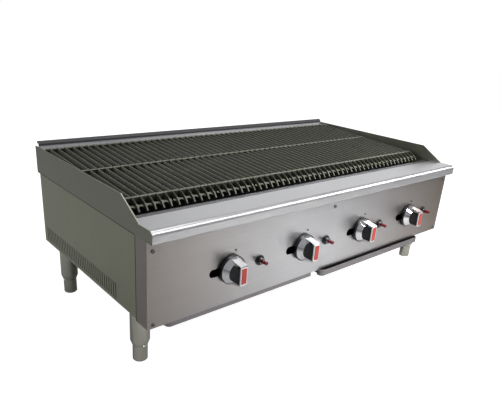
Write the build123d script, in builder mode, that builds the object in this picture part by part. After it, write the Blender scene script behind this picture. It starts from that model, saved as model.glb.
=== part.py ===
"""Countertop gas charbroiler: a four-burner grill on adjustable legs.

Millimetres. +X is to the right of the cook, +Y runs from the control panel to the back, and +Z is
up. The origin is on the surface that the feet stand on, at the middle of the overall footprint.
Heights are worked out from the underside of the body, depths from the face of the control panel.
"""

import os
from math import atan2, cos, sin, sqrt

from build123d import *

# ---------------------------------------------------------------- driving dimensions
OVERALL_WIDTH = 1219.0       # across the two splash guards
BODY_DEPTH = 621.0           # control panel face to the rear edge of the rear splash
LEG_HEIGHT = 134.0           # surface to the underside of the body, feet screwed in
SHEET = 1.5                  # stainless sheet
FIT_GAP = 0.5                # between sheets that are next to each other but not joined
SLIDE_GAP = 0.3              # between a moving piece and what guides it
PIN_GAP = 0.1                # radial clearance of a shaft in its own bore

PANEL_HEIGHT = 214.3         # control panel, from the underside of the body
LEDGE_BAND = 30.4            # from there, top of the front ledge
GUARD_RISE = 46.5            # from there, top of the side splash guards
SPLASH_RISE = 12.4           # from there, top of the rear splash
WALL_DROP = 8.7              # side and back walls below the ledge

BURNER_COUNT = 4
BURNER_PITCH = 257.0         # from one burner, valve and knob to the next
CONTROL_HEIGHT = 93.0        # knob, valve and burner axis above the underside of the body
CONTROL_SHIFT = 10.0         # the row of knobs, valves and burners, right of the middle

# ---------------------------------------------------------------- control panel and its fittings
PANEL_RETURN = 50.0          # depth of the panel's folded ends
PANEL_INSET = 0.5            # panel ends inside the overall width
STEM_HOLE_R = 8.0
SLOT_FAR = 65.5              # lighting slot, from the knob axis to its far end
SLOT_NEAR = 22.0
SLOT_HEIGHT = 22.0
IGNITER_OFFSET = 95.0        # igniter, to the right of its knob
SCREW_HEAD_R = 5.0
SCREW_HEAD = 2.6
SCREW_SHANK_R = 2.0
SCREW_LENGTH = 9.0
SCREW_MARGIN = 15.0          # corner screws, in from the ends of the panel
SCREW_LOW = 9.5
SCREW_DROP = 23.8            # upper screws, below the top of the panel
PILOT_SCREW = (13.0, 47.5)   # small screw of the pilot bracket, from the knob axis
PILOT_SCREW_R = 2.6

# ---------------------------------------------------------------- knob, stem and valve
KNOB_TRAVEL = 3.0            # push-in travel that frees the valve
KNOB_BASE_R = 38.0
KNOB_BASE = 8.5
KNOB_CONE_R = 36.0
KNOB_CONE_TIP_R = 25.5
KNOB_CONE = 14.0
GRIP_WIDTH = 22.0
GRIP_ROOT = 66.0             # height of the grip where it meets the base ring
GRIP_HEIGHT = 50.0           # and at its front
GRIP_DEPTH = 25.5
INLAY = 1.6                  # thickness of the dark side inlays
INLAY_HEIGHT = 45.0
INLAY_MARGIN = 3.5           # from the front of the grip
MARKER_WIDTH = 15.0
MARKER_HEIGHT = 41.0
MARKER_DEPTH = 2.0
MARKER_PROUD = 0.8
STEM_R = 4.0
STEM_GRIP = 15.0             # how far the knob's socket goes over the stem
VALVE_WIDTH = 26.0
VALVE_HEIGHT = 18.0
VALVE_FRONT = 32.0           # valve block, from the panel face
VALVE_BACK = 70.0
VALVE_NECK_R = 9.0
VALVE_NECK = 24.0
STEM_SEAT = 12.0             # depth of the stem inside the valve block
JET_R = 6.0
JET_LENGTH = 18.0

# ---------------------------------------------------------------- igniter
BEZEL_R = 13.9
BEZEL = 3.0
IGNITER_R = 8.75
IGNITER_FRONT = 12.0         # metal collar in front of the panel
IGNITER_BACK = 45.0          # body behind the panel
IGNITER_NUT_R = 13.0
IGNITER_NUT = 4.5
BUTTON_R = 5.0
BUTTON_REACH = 29.0
BUTTON_TRAVEL = 8.0
BUTTON_SEAT = 5.0            # button inside the body, behind the panel face

# ---------------------------------------------------------------- front ledge and grease trough
LEDGE_OVERHANG = 22.6        # in front of the control panel
LEDGE_BACK = 64.0
LEDGE_EDGE_R = 11.0
LEDGE_UNDERLAP = 20.0        # ledge's lower flange behind the panel face
LEDGE_DROP = 26.0
TROUGH_DEPTH = 20.0
TROUGH_LIP_DROP = 6.0        # front and ends of the trough below the ledge
TROUGH_BACK_DROP = 12.0      # back of the trough below the ledge
DRAIN_R = 9.0
DRAIN_END = 15.0             # lower end of a drain above the underside of the body
BEND_R = 2.5                 # centre-line radius of a sheet bend

# ---------------------------------------------------------------- side walls, guards, rear splash
GUARD_STEP = 5.5             # side wall inside the guard's outer face
WALL_FRONT = 52.0            # front edge of a side wall
WALL_FLANGE = 14.0
LOUVRE_PITCH = 12.0
LOUVRE_WIDTH = 4.0
LOUVRE_HEIGHT = 43.0
LOUVRE_LOW = 8.0
LOUVRE_FRONT = 157.0
LOUVRE_MARGIN = 20.0         # last louvre to the back wall
BACK_LOUVRE_MARGIN = 250.0   # plain part of the back wall at each end
GUARD_BACK_GAP = 5.4         # rear edge of the guards in front of the rearmost edge
GUARD_SLOPE_FRONT = 29.2     # where the guard starts to rise above the ledge
GUARD_SLOPE_BACK = 108.3
GUARD_CORNER_R = 12.0
GUARD_HEM = 12.0
SPLASH_BAND = 11.0           # depth of the turned-back top band of the rear splash
SPLASH_LAP = 11.0            # rear splash below the top of the back wall
SPLASH_HEM_R = 2.0           # bend at the top, where the sloped band turns down
SPLASH_WIDTH_GAP = 0.5

# ---------------------------------------------------------------- firebox, burners, radiants
LINER_SIDE_GAP = 36.0        # side wall to the liner, room for the gas pipe
LINER_FRONT = 110.0
LINER_BACK_GAP = 18.5        # liner to the rear splash
LINER_LOW = 12.0
LINER_STEP_DROP = 22.7       # low front part of the liner's flange, below the ledge
LINER_FLANGE_FRONT = 150.0
RADIANT_LIFT = 57.0          # radiant seat above the burner axis
SEAT_DEPTH = 24.0
SEAT_PLATE = 3.0
RADIANT_HALF = 55.0
RADIANT_GAP = 14.2           # peak of a radiant to the rests above it
RADIANT_FOOT = 9.0
RADIANT_SHEET = 2.0
RADIANT_END_GAP = 12.0
BURNER_R = 19.0
BURNER_WALL = 1.5
BURNER_MOUTH = 84.0
BURNER_END_GAP = 16.0
BURNER_COLLAR_R = 27.0
BURNER_COLLAR = 3.0
PORT_PITCH = 16.0
PORT_MARGIN = 30.0           # plain tube at each end of the ports
PORT_LENGTH = 10.0
PORT_WIDTH = 2.5
PILOT_R = 4.0
PILOT_OFFSET = 44.0          # pilot tube, to the left of its burner
PILOT_FRONT = 62.0
PILOT_BACK = 128.0
PILOT_FLANGE_R = 9.0

# ---------------------------------------------------------------- gas pipe, 3/4 in
PIPE_R = 13.35
PIPE_BORE_R = 10.45
PIPE_DEPTH = 52.0            # front run, behind the panel face
PIPE_DROP = 26.0             # pipe axis below the valve axis
PIPE_SIDE_GAP = 18.0         # side wall face to the axis of the side run
PIPE_BEND_R = 28.0
PIPE_END = 40.0              # pipe past the outermost valve
INLET_STUB = 24.0            # pipe behind the rear splash
INLET_THREAD = 20.0          # 3/4 in taper thread, drawn as its mean cylinder
INLET_THREAD_R = 13.0
BOSS_R = 10.0
SADDLE_PLATE = 3.0
SADDLE_WIDTH = 36.0
SADDLE_TOP = 23.0            # saddle plate above the pipe axis

# ---------------------------------------------------------------- grates
GRATE_PITCH = 132.0
GRATE_GAP = 1.0
BARS_PER_GRATE = 6
BAR_PITCH = 22.0
BAR_TOP = 3.5
BAR_FOOT = 15.0
BAR_HEIGHT = 18.0
GRATE_FRONT = 153.0          # middle of the front cross rib
GRATE_LIFT = 17.5            # top of the front rib above the ledge
GRATE_BACK_GAP = 7.8         # castings to the back of the liner
GRATE_RISE = 28.0            # rise of the cooking surface over GRATE_RUN
GRATE_RUN = 450.0
RIB_SHIFT = 4.5              # middle rib behind the middle of the casting
RIB_WIDTH = 8.0
RIB_HEIGHT = 13.0
NOSE_REACH = 42.0            # curved fingers in front of the front rib
NOSE_DROP = 22.0
NOSE_BULGE = 4.5
NOSE_TIP = 6.0
NOSE_WIDTH = 4.5
LOW_RIB = 22.0               # lower cross rib between the fingers, in front of the front rib
LOW_RIB_DROP = 11.0
LOW_RIB_WIDTH = 6.0
LOW_RIB_HEIGHT = 9.0
REST_WIDTH = 6.0
REST_HEIGHT = 30.0
GRATE_SEAT_GAP = 0.3

# ---------------------------------------------------------------- drip trays and their runners
TRAY_DRAWN_OUT = (0.0, 20.0) # how far the left and the right tray stand drawn out
TRAY_LEG_GAP = 5.0           # left tray to the leg tubes
TRAY_RIGHT_GAP = 81.0        # right tray to the leg tubes
TRAY_SPLIT = -43.5           # middle of the space between the trays
TRAY_SPACE = 17.0
TRAY_CLOSED = 8.0            # front of a closed tray, behind the panel face
TRAY_LAP = 8.0               # closed tray past the back of its drip opening
TRAY_TOP_GAP = 0.5
TRAY_DEPTH = 17.5
TRAY_RIM = 8.0
TRAY_CORNER_R = 11.0
TRAY_RETURN = 18.0
OPENING_MARGIN = 16.0        # drip opening in the base, inside the tray's edges
OPENING_FRONT = 70.0
OPENING_BACK_GAP = 41.5      # drip opening to the back of the liner
RUNNER_FRONT = 32.0
RUNNER_BACK_GAP = 11.5       # runners to the back wall

# ---------------------------------------------------------------- legs and feet
LEG_FRONT = 85.0
LEG_BACK_INSET = 116.0       # rear legs, in front of the rearmost edge
LEG_INSET = 24.0             # leg axis, in from the side wall's outer face
LEG_R = 24.0
LEG_WALL = 1.8
LEG_TUBE = 77.0
LEG_TAPER = 11.0
LEG_TAPER_R = 20.0
LEG_CAP = 6.0
LEG_PLUG = 18.0
BOLT_R = 5.0
BOLT_GAP = 0.3
BOLT_HEAD_AF = 17.0          # across the flats
BOLT_HEAD = 6.5
BOLT_LENGTH = 24.0
FOOT_R = 18.5
FOOT_STEM_R = 8.0
FOOT_STEM = 36.0
FOOT_CHAMFER = 2.0
FOOT_SEAT_GAP = 0.5
BASE_FLANGE = 7.0
POST_WIDTH = 20.0
POST_DEPTH = 43.0

# ---------------------------------------------------------------- worked out from the above
# depths behind the panel face
SPLASH_FACE = BODY_DEPTH - SPLASH_BAND
BACK_FACE = SPLASH_FACE + SHEET                          # front face of the back wall
GUARD_BACK = BODY_DEPTH - GUARD_BACK_GAP
LINER_BACK = SPLASH_FACE - LINER_BACK_GAP
OPENING_BACK = LINER_BACK - OPENING_BACK_GAP
TRAY_LENGTH = OPENING_BACK + TRAY_LAP - TRAY_CLOSED
RUNNER_BACK = BACK_FACE - RUNNER_BACK_GAP
BURNER_END = LINER_BACK - SHEET - BURNER_END_GAP
# heights above the underside of the body
LEDGE_HEIGHT = PANEL_HEIGHT + LEDGE_BAND
GUARD_HEIGHT = LEDGE_HEIGHT + GUARD_RISE
SPLASH_HEIGHT = GUARD_HEIGHT + SPLASH_RISE
WALL_HEIGHT = LEDGE_HEIGHT - WALL_DROP
SCREW_HIGH = PANEL_HEIGHT - SCREW_DROP
TROUGH_FLOOR = LEDGE_HEIGHT - TROUGH_DEPTH
TROUGH_BACK_TOP = LEDGE_HEIGHT - TROUGH_BACK_DROP
LINER_STEP = LEDGE_HEIGHT - LINER_STEP_DROP
SPLASH_LOW = WALL_HEIGHT - SPLASH_LAP
RADIANT_SEAT = CONTROL_HEIGHT + RADIANT_LIFT
PIPE_HEIGHT = CONTROL_HEIGHT - PIPE_DROP
GRATE_HEIGHT = LEDGE_HEIGHT + GRATE_LIFT
RADIANT_RISE = GRATE_HEIGHT - BAR_HEIGHT - REST_HEIGHT - RADIANT_GAP - RADIANT_SHEET - RADIANT_SEAT
# places in the part's own frame
KNOB_REACH = FIT_GAP + KNOB_TRAVEL + KNOB_BASE + KNOB_CONE + GRIP_DEPTH + MARKER_PROUD
FACE = (KNOB_REACH - BODY_DEPTH - INLET_STUB) / 2        # Y of the control panel's face
BASE = LEG_HEIGHT                                        # Z of the underside of the body
HALF = OVERALL_WIDTH / 2
GUARD_IN = HALF - SHEET
PANEL_HALF = HALF - PANEL_INSET
WALL_OUT = HALF - GUARD_STEP
WALL_IN = WALL_OUT - SHEET
LINER_OUT = WALL_OUT - LINER_SIDE_GAP
LINER_IN = LINER_OUT - SHEET
CONTROL_Z = BASE + CONTROL_HEIGHT
BURNERS = [CONTROL_SHIFT + BURNER_PITCH * (i - (BURNER_COUNT - 1) / 2) for i in range(BURNER_COUNT)]
LEG_X = WALL_OUT - LEG_INSET
LEG_BACK = BODY_DEPTH - LEG_BACK_INSET
LEGS = {
    "front_left": (-LEG_X, LEG_FRONT),
    "front_right": (LEG_X, LEG_FRONT),
    "rear_left": (-LEG_X, LEG_BACK),
    "rear_right": (LEG_X, LEG_BACK),
}
SLOPE = atan2(GRATE_RISE, GRATE_RUN)
UPHILL = (0, cos(SLOPE), sin(SLOPE))                     # along a grate bar, towards the back
RIB_BACK = (LINER_BACK - SHEET - GRATE_BACK_GAP - GRATE_FRONT) / cos(SLOPE) - RIB_WIDTH / 2
RIBS = (0.0, RIB_BACK / 2 + RIB_SHIFT, RIB_BACK)         # from the front rib, along the bars
GRATE_COUNT = int(2 * (GUARD_IN - SHEET - FIT_GAP) / GRATE_PITCH)
GRATES = [GRATE_PITCH * (i - (GRATE_COUNT - 1) / 2) for i in range(GRATE_COUNT)]
KNOB_BACK = FACE - FIT_GAP - KNOB_TRAVEL                 # rear face of a knob, not pushed
CONE_BACK = KNOB_BACK - KNOB_BASE
GRIP_BACK = CONE_BACK - KNOB_CONE
GRIP_FRONT = GRIP_BACK - GRIP_DEPTH
STEM_TIP = CONE_BACK - STEM_GRIP
PIPE_X = WALL_IN - PIPE_SIDE_GAP
LEG_SIDE = LEG_X - LEG_R                                 # inner side of the leg tubes
TRAY_SPANS = (                                           # left and right edges of the two trays
    (-LEG_SIDE + TRAY_LEG_GAP, TRAY_SPLIT - TRAY_SPACE / 2),
    (TRAY_SPLIT + TRAY_SPACE / 2, LEG_SIDE - TRAY_RIGHT_GAP),
)
TRAY_FLOOR = BASE - TRAY_TOP_GAP - TRAY_DEPTH
RIM_TOP = BASE - SHEET - SLIDE_GAP                       # tray rim inside the runner


# ---------------------------------------------------------------- shared shapes
def slab(x0, x1, y0, y1, z0, z1, mode=Mode.ADD):
    """A straight plate or bar between two corners."""
    with BuildSketch(Plane.XY.offset(z0)) as outline:
        with Locations(((x0 + x1) / 2, (y0 + y1) / 2)):
            Rectangle(x1 - x0, y1 - y0)
    extrude(outline.sketch, amount=z1 - z0, mode=mode)


def folded_sheet(half_width, path):
    """A sheet bent along X: path holds (depth, height) points on its middle surface."""
    with BuildSketch(Plane.YZ.offset(-half_width)) as section:
        with BuildLine():
            FilletPolyline(*[(FACE + y, BASE + z) for y, z in path], radius=BEND_R)
        trace(line_width=SHEET)
    extrude(section.sketch, amount=2 * half_width)


def face_round(x, z, radius, front, back, mode=Mode.ADD):
    """A round bar or hole along Y, between two depths."""
    with BuildSketch(Plane.XZ.offset(-front)) as disc:
        with Locations((x, z)):
            Circle(radius)
    extrude(disc.sketch, amount=front - back, mode=mode)


def upright_round(x, y, radius, low, high, mode=Mode.ADD):
    """A round bar or hole along Z, between two heights."""
    with BuildSketch(Plane.XY.offset(low)) as disc:
        with Locations((x, y)):
            Circle(radius)
    extrude(disc.sketch, amount=high - low, mode=mode)


def save(builder, name):
    """Label a finished piece and write it to its own file."""
    builder.part.label = name
    export_step(builder.part, f"parts/{name}.step")


os.makedirs("parts", exist_ok=True)

# ---------------------------------------------------------------- base plate, posts, pipe saddles
with BuildPart() as base_frame:
    slab(-WALL_IN, WALL_IN, FACE + SHEET, FACE + BACK_FACE, BASE, BASE + SHEET)
    for left, right in TRAY_SPANS:
        slab(left + OPENING_MARGIN, right - OPENING_MARGIN, FACE + OPENING_FRONT,
             FACE + OPENING_BACK, BASE, BASE + SHEET, Mode.SUBTRACT)
    for side in (-1, 1):
        inner, outer = sorted((side * WALL_IN, side * (WALL_IN - SHEET)))
        slab(inner, outer, FACE + WALL_FRONT, FACE + BACK_FACE, BASE, BASE + BASE_FLANGE)
        post_top = BASE + PANEL_HEIGHT
        slab(inner, outer, FACE + SHEET, FACE + SHEET + POST_DEPTH, BASE, post_top)
        inner, outer = sorted((side * WALL_IN, side * (WALL_IN - POST_WIDTH)))
        slab(inner, outer, FACE + SHEET, FACE + 2 * SHEET, BASE, post_top)
        for height in (SCREW_LOW, SCREW_HIGH):
            face_round(side * (PANEL_HALF - SCREW_MARGIN), BASE + height, SCREW_SHANK_R + BOLT_GAP,
                       FACE, FACE + SCREW_LENGTH, Mode.SUBTRACT)
    for saddle in (-BURNER_PITCH, 0.0, BURNER_PITCH):
        slab(saddle - SADDLE_PLATE / 2, saddle + SADDLE_PLATE / 2,
             FACE + PIPE_DEPTH - SADDLE_WIDTH / 2, FACE + PIPE_DEPTH + SADDLE_WIDTH / 2,
             BASE, BASE + PIPE_HEIGHT + SADDLE_TOP)
        with BuildSketch(Plane.YZ.offset(saddle - SADDLE_PLATE)) as pipe_hole:
            with Locations((FACE + PIPE_DEPTH, BASE + PIPE_HEIGHT)):
                Circle(PIPE_R + BOLT_GAP)
        extrude(pipe_hole.sketch, amount=2 * SADDLE_PLATE, mode=Mode.SUBTRACT)
    for x, y in LEGS.values():
        upright_round(x, FACE + y, BOLT_R + BOLT_GAP, BASE, BASE + SHEET, Mode.SUBTRACT)
save(base_frame, "base_frame")

# ---------------------------------------------------------------- side walls with vent louvres
for name, side in (("left_side_panel", -1), ("right_side_panel", 1)):
    with BuildPart() as side_wall:
        inner, outer = sorted((side * WALL_IN, side * WALL_OUT))
        slab(inner, outer, FACE + WALL_FRONT, FACE + BACK_FACE + SHEET, BASE, BASE + WALL_HEIGHT)
        inner, outer = sorted((side * WALL_OUT, side * (WALL_IN - WALL_FLANGE)))
        slab(inner, outer, FACE + LINER_FLANGE_FRONT, FACE + SPLASH_FACE,
             BASE + WALL_HEIGHT - SHEET, BASE + WALL_HEIGHT)
        with BuildSketch(Plane.YZ.offset(side * WALL_OUT - 2 * SHEET)) as louvres:
            count = 1 + int((BACK_FACE - LOUVRE_FRONT - LOUVRE_MARGIN) / LOUVRE_PITCH)
            middle = LOUVRE_FRONT + LOUVRE_PITCH * (count - 1) / 2
            with Locations((FACE + middle, BASE + LOUVRE_LOW + LOUVRE_HEIGHT / 2)):
                with GridLocations(LOUVRE_PITCH, LOUVRE_HEIGHT, count, 1):
                    SlotOverall(LOUVRE_HEIGHT, LOUVRE_WIDTH, rotation=90)
        extrude(louvres.sketch, amount=4 * SHEET, mode=Mode.SUBTRACT)
    save(side_wall, name)

# ---------------------------------------------------------------- back wall
with BuildPart() as back_panel:
    slab(-WALL_IN, WALL_IN, FACE + BACK_FACE, FACE + BACK_FACE + SHEET, BASE, BASE + WALL_HEIGHT)
    with BuildSketch(Plane.XZ.offset(-FACE - BACK_FACE)) as vents:
        count = 1 + int(2 * (WALL_IN - BACK_LOUVRE_MARGIN) / (2 * LOUVRE_PITCH))
        with Locations((0, BASE + LOUVRE_LOW + LOUVRE_HEIGHT / 2)):
            with GridLocations(2 * LOUVRE_PITCH, LOUVRE_HEIGHT, count, 1):
                SlotOverall(LOUVRE_HEIGHT, LOUVRE_WIDTH, rotation=90)
    extrude(vents.sketch, amount=-SHEET, mode=Mode.SUBTRACT)
    face_round(PIPE_X, BASE + PIPE_HEIGHT, PIPE_R + FIT_GAP, FACE + BACK_FACE,
               FACE + BACK_FACE + SHEET, Mode.SUBTRACT)
save(back_panel, "back_panel")

# ---------------------------------------------------------------- control panel
with BuildPart() as control_panel:
    slab(-PANEL_HALF, PANEL_HALF, FACE, FACE + SHEET, BASE, BASE + PANEL_HEIGHT)
    for side in (-1, 1):
        inner, outer = sorted((side * PANEL_HALF, side * (PANEL_HALF - SHEET)))
        slab(inner, outer, FACE, FACE + PANEL_RETURN, BASE, BASE + PANEL_HEIGHT)
        for height in (SCREW_LOW, SCREW_HIGH):
            face_round(side * (PANEL_HALF - SCREW_MARGIN), BASE + height, SCREW_SHANK_R + BOLT_GAP,
                       FACE, FACE + SHEET, Mode.SUBTRACT)
    face_round(0, BASE + SCREW_HIGH, SCREW_SHANK_R + BOLT_GAP, FACE, FACE + SHEET, Mode.SUBTRACT)
    for x in BURNERS:
        face_round(x, CONTROL_Z, STEM_HOLE_R, FACE, FACE + SHEET, Mode.SUBTRACT)
        face_round(x + IGNITER_OFFSET, CONTROL_Z, IGNITER_R + BOLT_GAP, FACE, FACE + SHEET,
                   Mode.SUBTRACT)
        face_round(x + PILOT_SCREW[0], CONTROL_Z + PILOT_SCREW[1], SCREW_SHANK_R + BOLT_GAP,
                   FACE, FACE + SHEET, Mode.SUBTRACT)
        with BuildSketch(Plane.XZ.offset(-FACE)) as slot:
            with Locations((x - (SLOT_FAR + SLOT_NEAR) / 2, CONTROL_Z)):
                SlotOverall(SLOT_FAR - SLOT_NEAR, SLOT_HEIGHT)
        extrude(slot.sketch, amount=-SHEET, mode=Mode.SUBTRACT)
save(control_panel, "control_panel")

# ---------------------------------------------------------------- front ledge and grease trough
with BuildPart() as front_ledge:
    with BuildSketch(Plane.YZ.offset(-GUARD_IN)) as section:
        middle = SHEET / 2
        low, high = BASE + PANEL_HEIGHT + middle, BASE + LEDGE_HEIGHT - middle
        nose = FACE - LEDGE_OVERHANG + middle
        with BuildLine():
            FilletPolyline((FACE + LEDGE_UNDERLAP, low), (nose, low), (nose, high),
                           (FACE + LEDGE_BACK, high), radius=[BEND_R, LEDGE_EDGE_R])
        trace(line_width=SHEET)
    extrude(section.sketch, amount=2 * GUARD_IN)
    slab(-WALL_IN + FIT_GAP, WALL_IN - FIT_GAP, FACE + LEDGE_BACK - SHEET, FACE + LEDGE_BACK,
         BASE + LEDGE_HEIGHT - LEDGE_DROP, BASE + LEDGE_HEIGHT)
save(front_ledge, "front_ledge")

with BuildPart() as grease_trough:
    middle = SHEET / 2
    front, back = LEDGE_BACK + middle, LINER_FRONT - middle
    folded_sheet(WALL_IN - FIT_GAP,
                 [(front, LEDGE_HEIGHT - TROUGH_LIP_DROP), (front, TROUGH_FLOOR - middle),
                  (back, TROUGH_FLOOR - middle), (back, TROUGH_BACK_TOP)])
    for side in (-1, 1):
        inner, outer = sorted((side * (WALL_IN - FIT_GAP), side * (WALL_IN - FIT_GAP - SHEET)))
        slab(inner, outer, FACE + LEDGE_BACK, FACE + LINER_FRONT, BASE + TROUGH_FLOOR - SHEET,
             BASE + LEDGE_HEIGHT - TROUGH_LIP_DROP)
        drain = (side * BURNER_PITCH, FACE + LINER_FRONT - DRAIN_R - 2 * BEND_R)
        upright_round(*drain, DRAIN_R, BASE + DRAIN_END, BASE + TROUGH_FLOOR)
        upright_round(*drain, DRAIN_R - SHEET, BASE + DRAIN_END,
                      BASE + TROUGH_FLOOR, Mode.SUBTRACT)
save(grease_trough, "grease_trough")

# ---------------------------------------------------------------- side splash guards
guard_top = [(GUARD_SLOPE_FRONT, LEDGE_HEIGHT), (GUARD_SLOPE_BACK, GUARD_HEIGHT),
             (GUARD_BACK, GUARD_HEIGHT)]
guard_outline = [(-LEDGE_OVERHANG, LEDGE_HEIGHT), *guard_top, (GUARD_BACK, PANEL_HEIGHT),
                 (-LEDGE_OVERHANG, PANEL_HEIGHT)]
for name, side in (("left_splash_guard", -1), ("right_splash_guard", 1)):
    with BuildPart() as guard:
        skin, skin_end = sorted((side * GUARD_IN, side * HALF))
        with BuildSketch(Plane.YZ.offset(skin)) as outline:
            with BuildLine():
                Polyline(*[(FACE + y, BASE + z) for y, z in guard_outline], close=True)
            make_face()
            front_corner = outline.vertices().sort_by(Axis.X)[:2].sort_by(Axis.Y)[-1]
            fillet(front_corner, radius=GUARD_CORNER_R)
        extrude(outline.sketch, amount=skin_end - skin)
        hem = min(side * GUARD_IN, side * (GUARD_IN - SHEET))
        with BuildSketch(Plane.YZ.offset(hem)) as strip:
            with BuildLine():
                Polyline(*[(FACE + y, BASE + z) for y, z in guard_top])
            trace(line_width=2 * GUARD_HEM)
            with BuildLine():
                Polyline(*[(FACE + y, BASE + z) for y, z in guard_top],
                         (FACE + GUARD_BACK, BASE + LEDGE_HEIGHT), close=True)
            make_face(mode=Mode.INTERSECT)
        extrude(strip.sketch, amount=SHEET)
        inner, outer = sorted((side * GUARD_IN, side * WALL_OUT))
        slab(inner, outer, FACE + WALL_FRONT, FACE + BACK_FACE + SHEET,
             BASE + PANEL_HEIGHT, BASE + PANEL_HEIGHT + SHEET)
    save(guard, name)

# ---------------------------------------------------------------- rear splash
with BuildPart() as rear_splash:
    middle = SHEET / 2
    hem_corner = SPLASH_HEIGHT - middle + SPLASH_HEM_R * sqrt(2)
    band_low = hem_corner - (BODY_DEPTH - SPLASH_FACE - SHEET)
    with BuildSketch(Plane.YZ.offset(SPLASH_WIDTH_GAP - WALL_IN)) as section:
        with BuildLine():
            FilletPolyline((FACE + SPLASH_FACE + middle, BASE + SPLASH_LOW),
                           (FACE + SPLASH_FACE + middle, BASE + band_low),
                           (FACE + BODY_DEPTH - middle, BASE + hem_corner),
                           (FACE + BODY_DEPTH - middle, BASE + band_low),
                           radius=[BEND_R, SPLASH_HEM_R])
        trace(line_width=SHEET)
    extrude(section.sketch, amount=2 * (WALL_IN - SPLASH_WIDTH_GAP))
save(rear_splash, "rear_splash")

# ---------------------------------------------------------------- firebox liner
with BuildPart() as firebox_liner:
    flange_low, flange_high = BASE + WALL_HEIGHT, BASE + WALL_HEIGHT + SHEET
    for side in (-1, 1):
        inner, outer = sorted((side * LINER_IN, side * LINER_OUT))
        slab(inner, outer, FACE + LINER_FRONT, FACE + LINER_BACK, BASE + LINER_LOW,
             BASE + LINER_STEP)
        slab(inner, outer, FACE + LINER_FLANGE_FRONT, FACE + LINER_BACK, BASE + LINER_LOW, flange_high)
        inner, outer = sorted((side * LINER_IN, side * (GUARD_IN - FIT_GAP)))
        slab(inner, outer, FACE + LINER_FLANGE_FRONT, FACE + SPLASH_FACE, flange_low, flange_high)
        inner, outer = sorted((side * LINER_IN, side * (WALL_IN - FIT_GAP)))
        slab(inner, outer, FACE + LINER_FRONT, FACE + LINER_FLANGE_FRONT,
             BASE + LINER_STEP - SHEET, BASE + LINER_STEP)
    slab(-LINER_OUT, LINER_OUT, FACE + LINER_FRONT, FACE + LINER_FRONT + SHEET, BASE + LINER_LOW,
         BASE + TROUGH_BACK_TOP)
    slab(-LINER_OUT, LINER_OUT, FACE + LINER_BACK - SHEET, FACE + LINER_BACK, BASE + LINER_LOW,
         flange_high)
    slab(-LINER_OUT, LINER_OUT, FACE + LINER_BACK - SHEET, FACE + SPLASH_FACE, flange_low, flange_high)
    for front, back in ((LINER_FRONT, LINER_FRONT + SEAT_DEPTH),
                        (LINER_BACK - SEAT_DEPTH, LINER_BACK)):
        slab(-LINER_IN, LINER_IN, FACE + front, FACE + back, BASE + RADIANT_SEAT - SEAT_PLATE,
             BASE + RADIANT_SEAT)
    for x in BURNERS:
        face_round(x, CONTROL_Z, BURNER_R + FIT_GAP, FACE + LINER_FRONT, FACE + LINER_FRONT + SHEET,
                   Mode.SUBTRACT)
        face_round(x - PILOT_OFFSET, CONTROL_Z, PILOT_R + BOLT_GAP, FACE + LINER_FRONT,
                   FACE + LINER_FRONT + SHEET, Mode.SUBTRACT)
save(firebox_liner, "firebox_liner")

# ---------------------------------------------------------------- radiants over the burners
with BuildPart() as radiants:
    with BuildSketch(Plane.XZ.offset(-FACE - LINER_FRONT - RADIANT_END_GAP)) as section:
        seat = BASE + RADIANT_SEAT + RADIANT_SHEET / 2
        for x in BURNERS:
            with BuildLine():
                FilletPolyline((x - RADIANT_HALF - RADIANT_FOOT, seat), (x - RADIANT_HALF, seat),
                               (x, seat + RADIANT_RISE), (x + RADIANT_HALF, seat),
                               (x + RADIANT_HALF + RADIANT_FOOT, seat), radius=BEND_R)
            trace(line_width=RADIANT_SHEET)
    extrude(section.sketch, amount=-(LINER_BACK - LINER_FRONT - 2 * RADIANT_END_GAP))
save(radiants, "radiants")

# ---------------------------------------------------------------- burners
port_count = 1 + int((BURNER_END - LINER_FRONT - 2 * PORT_MARGIN) / PORT_PITCH)
for number, x in enumerate(BURNERS, start=1):
    with BuildPart() as burner:
        face_round(x, CONTROL_Z, BURNER_R, FACE + BURNER_MOUTH, FACE + BURNER_END)
        face_round(x, CONTROL_Z, BURNER_R - BURNER_WALL, FACE + BURNER_MOUTH,
                   FACE + BURNER_END - BURNER_WALL, Mode.SUBTRACT)
        with BuildSketch(Plane.XZ.offset(-FACE - LINER_FRONT + BURNER_COLLAR)) as collar:
            with Locations((x, CONTROL_Z)):
                Circle(BURNER_COLLAR_R)
                Circle(BURNER_R - BURNER_WALL, mode=Mode.SUBTRACT)
        extrude(collar.sketch, amount=-BURNER_COLLAR)
        slab(x - BURNER_R / 2, x + BURNER_R / 2, FACE + BURNER_END, FACE + LINER_BACK - SHEET,
             CONTROL_Z, CONTROL_Z + SEAT_PLATE)
        with BuildSketch(Plane.XY.offset(CONTROL_Z + BURNER_R / 2)) as ports:
            with Locations((x, FACE + (LINER_FRONT + BURNER_END) / 2)):
                with GridLocations(BURNER_R, PORT_PITCH, 2, port_count):
                    Rectangle(PORT_LENGTH, PORT_WIDTH)
        extrude(ports.sketch, amount=BURNER_R, mode=Mode.SUBTRACT)
    save(burner, f"burner_{number}")

# ---------------------------------------------------------------- pilot tubes
with BuildPart() as pilot_burners:
    for x in BURNERS:
        face_round(x - PILOT_OFFSET, CONTROL_Z, PILOT_R, FACE + PILOT_FRONT, FACE + PILOT_BACK)
        face_round(x - PILOT_OFFSET, CONTROL_Z, PILOT_FLANGE_R, FACE + LINER_FRONT - BURNER_COLLAR,
                   FACE + LINER_FRONT)
save(pilot_burners, "pilot_burners")

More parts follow.
